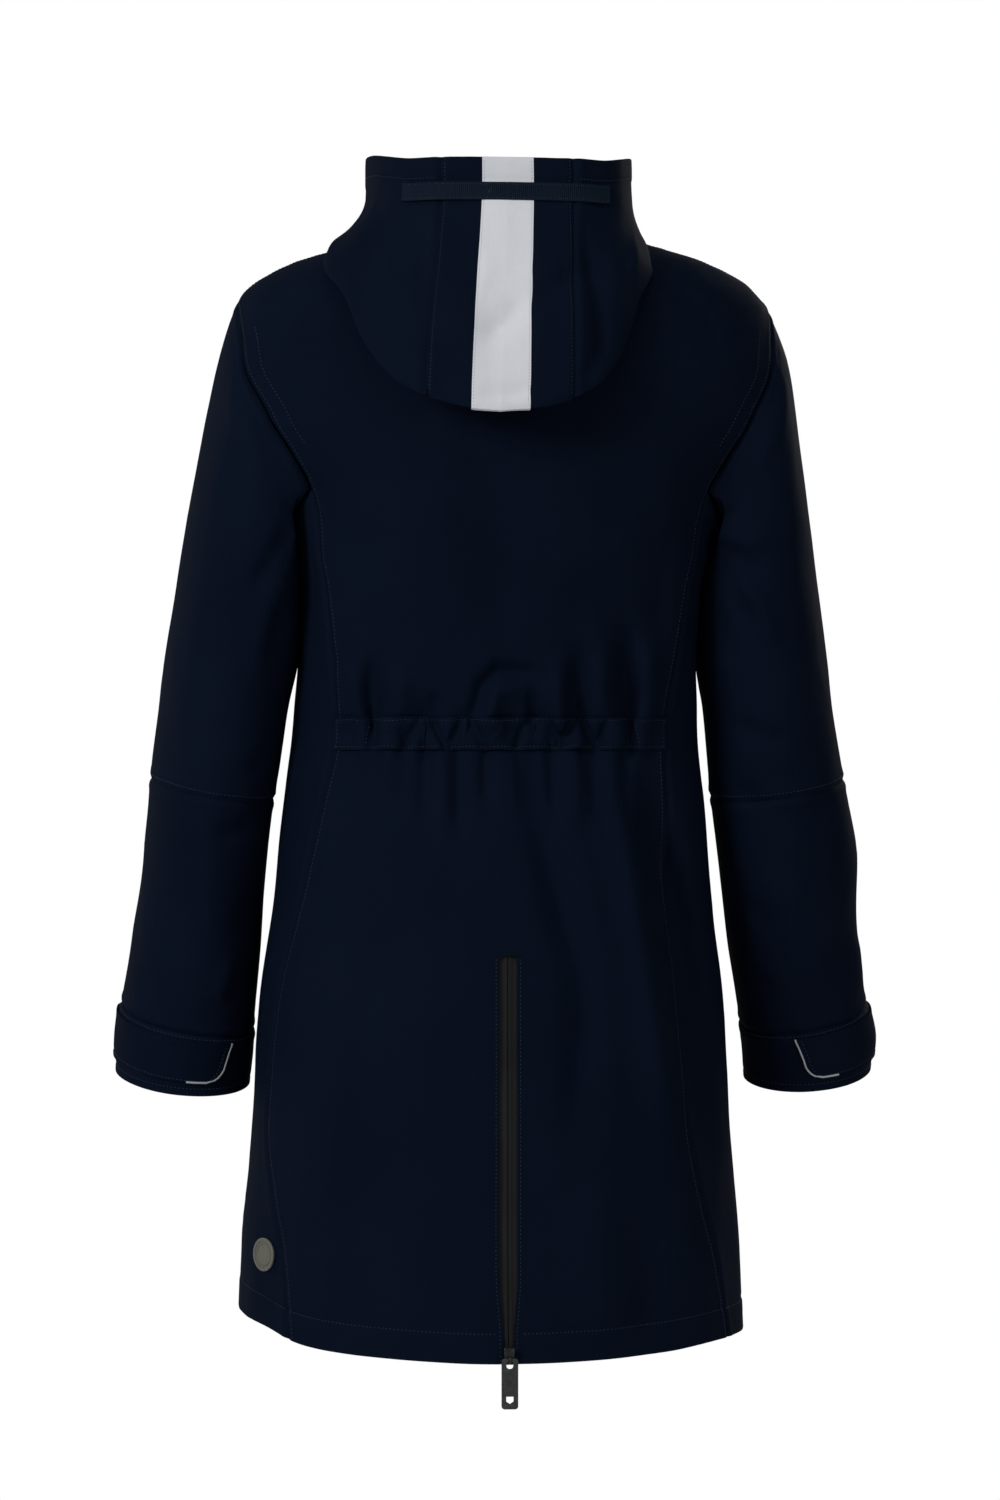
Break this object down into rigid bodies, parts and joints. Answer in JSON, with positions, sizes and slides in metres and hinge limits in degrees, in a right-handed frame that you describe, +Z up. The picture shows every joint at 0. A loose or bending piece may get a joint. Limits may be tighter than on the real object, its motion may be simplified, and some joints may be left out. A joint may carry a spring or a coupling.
{
  "type": "hooded raincoat",
  "caption": "Thigh-length hooded raincoat, hood down, worn shape with open neck, hem and cuffs, gathered back waist and zipped back vent.",
  "frame": {"origin": "inside the neck opening, level with the nape, where the wearer's neck and shoulders hold the coat", "axes": "+Z up, the coat faces -Y, +X is the wearer's left"},
  "size_m": [0.6169, 0.313, 0.9732],
  "materials": {
    "navy_cloth": "near-black navy technical shell cloth with a faint sheen",
    "navy_webbing": "ribbed navy webbing",
    "reflective_grey": "pale grey retroreflective tape",
    "silver_piping": "silver reflective piping",
    "zip_tape": "matte black laminated zip tape",
    "black_zip_metal": "black enamelled zip metal",
    "grey_badge": "moulded grey badge, bare of lettering"
  },
  "bodies": {
    "coat": {"back": "navy_cloth", "side_left": "navy_cloth", "side_right": "navy_cloth", "front_left": "navy_cloth", "front_right": "navy_cloth", "sleeve_upper_left": "navy_cloth", "sleeve_upper_right": "navy_cloth", "sleeve_lower_left": "navy_cloth", "sleeve_lower_right": "navy_cloth", "cuff_left": "navy_cloth", "cuff_right": "navy_cloth", "cuff_tab_left": "navy_cloth", "cuff_tab_right": "navy_cloth", "hood_centre": "navy_cloth", "hood_side_left": "navy_cloth", "hood_side_right": "navy_cloth", "waist_channel": "navy_cloth", "hood_stripe": "reflective_grey", "hood_tape": "navy_webbing", "cuff_piping_left": "silver_piping", "cuff_piping_right": "silver_piping", "vent_zip": "zip_tape", "front_zip": "zip_tape", "vent_slider": "black_zip_metal", "front_slider": "black_zip_metal", "badge": "grey_badge"},
    "vent_pull": {"vent_pull": "black_zip_metal"},
    "front_pull": {"front_pull": "black_zip_metal"}
  },
  "joints": [
    {"name": "vent_pull_hinge", "type": "hinge", "parent": "coat", "child": "vent_pull", "pos_m": [0.01, 0.15776, -0.87848], "axis": [1, 0, 0], "range_deg": [-15, 150]},
    {"name": "front_pull_hinge", "type": "hinge", "parent": "coat", "child": "front_pull", "pos_m": [0.004, -0.1085, -0.0175], "axis": [-1, 0, 0], "range_deg": [0, 150]}
  ]
}
